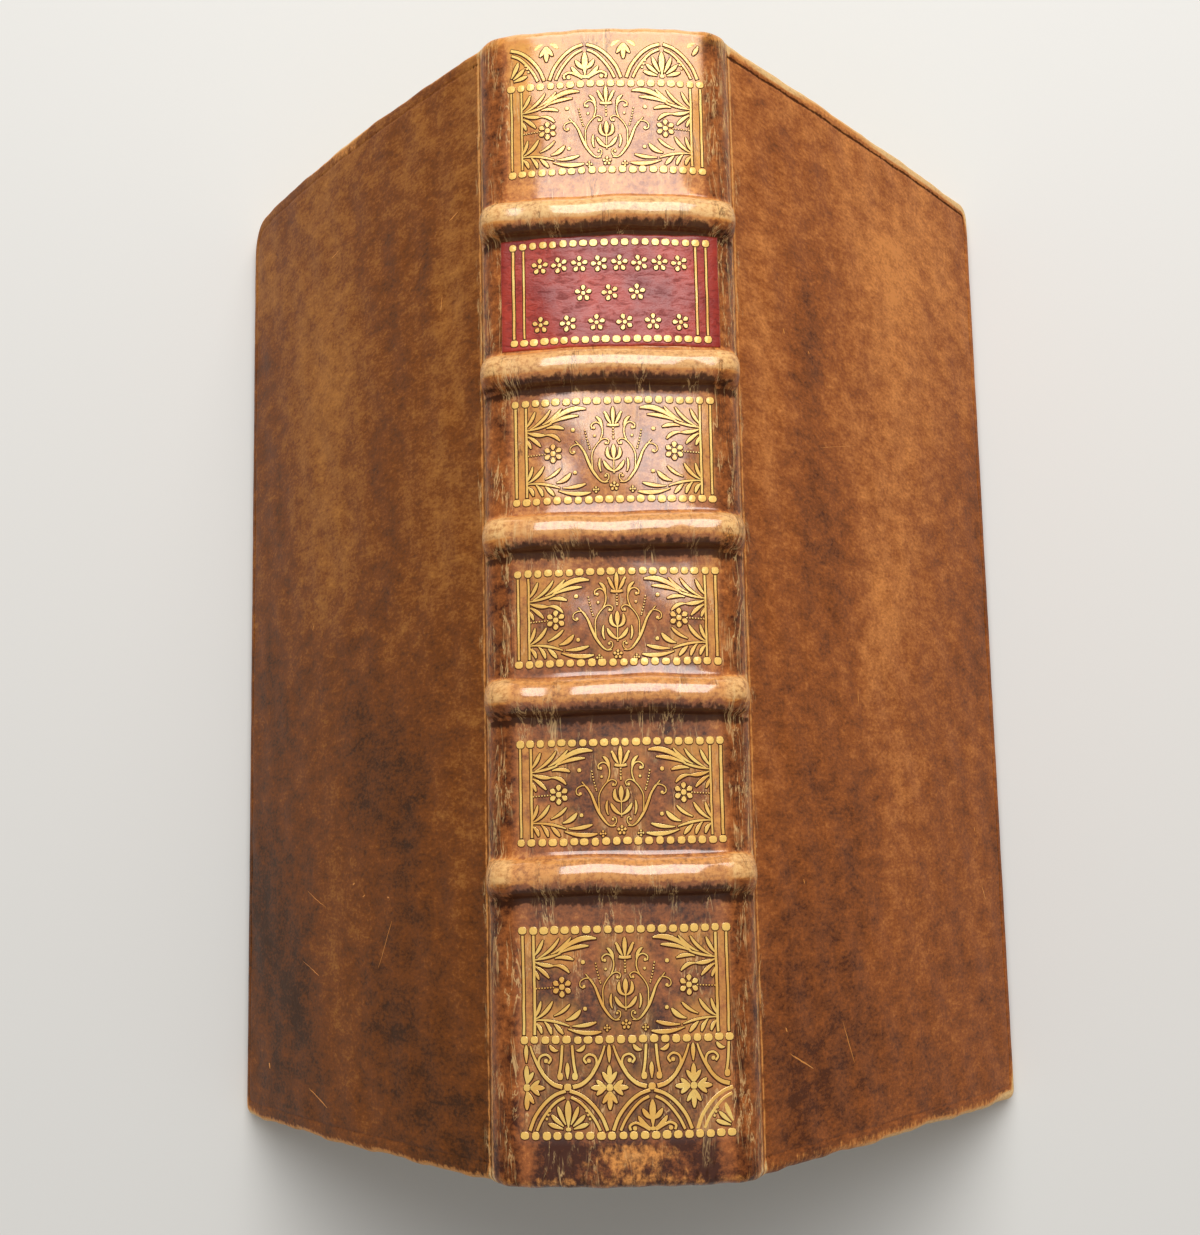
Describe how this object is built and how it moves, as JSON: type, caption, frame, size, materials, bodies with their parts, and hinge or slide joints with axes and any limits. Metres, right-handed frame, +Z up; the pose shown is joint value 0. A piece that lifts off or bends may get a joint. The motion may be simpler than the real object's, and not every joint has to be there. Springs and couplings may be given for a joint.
{
  "type": "antique leather book",
  "caption": "Small calf-bound book with raised bands and a gilt spine, opened and stood like a tent on the fore edges of its two hinged covers.",
  "frame": {"origin": "middle of the footprint, on the surface that the fore edges of the two covers stand on", "axes": "+X across the spine towards the front cover, +Y along the spine towards the head, +Z upward"},
  "size_m": [0.1402, 0.1708, 0.0915],
  "materials": {
    "leaves": "matte",
    "marbled_paper": "satin",
    "hemp_cord": "matte",
    "parchment": "matte",
    "silk": "satin",
    "calf": "satin",
    "red_morocco": "satin",
    "gold": "satin",
    "pasteboard": "matte"
  },
  "bodies": {
    "leaves": {"text_block": "leaves", "front_endpaper": "marbled_paper", "back_endpaper": "marbled_paper", "sewing_cord_1": "hemp_cord", "sewing_cord_2": "hemp_cord", "sewing_cord_3": "hemp_cord", "sewing_cord_4": "hemp_cord", "sewing_cord_5": "hemp_cord", "spine_lining_1": "parchment", "spine_lining_2": "parchment", "spine_lining_3": "parchment", "spine_lining_4": "parchment", "spine_lining_5": "parchment", "spine_lining_6": "parchment", "head_band": "silk", "tail_band": "silk", "spine_leather": "calf", "title_label": "red_morocco", "gilt_head_roll": "gold", "gilt_panel_1": "gold", "gilt_label": "gold", "gilt_panel_3": "gold", "gilt_panel_4": "gold", "gilt_panel_5": "gold", "gilt_panel_6": "gold", "gilt_tail_roll": "gold"},
    "front_cover": {"front_board": "pasteboard", "front_lacing_slips": "hemp_cord", "front_cover_leather": "calf", "front_pastedown": "marbled_paper"},
    "back_cover": {"back_board": "pasteboard", "back_lacing_slips": "hemp_cord", "back_cover_leather": "calf", "back_pastedown": "marbled_paper"}
  },
  "joints": [
    {"name": "front_joint", "type": "hinge", "parent": "leaves", "child": "front_cover", "pos_m": [0.0192, 0, 0.08266], "axis": [0, -1, 0], "range_deg": [0, 120]},
    {"name": "back_joint", "type": "hinge", "parent": "leaves", "child": "back_cover", "pos_m": [-0.0192, 0, 0.08266], "axis": [0, 1, 0], "range_deg": [0, 120]}
  ]
}
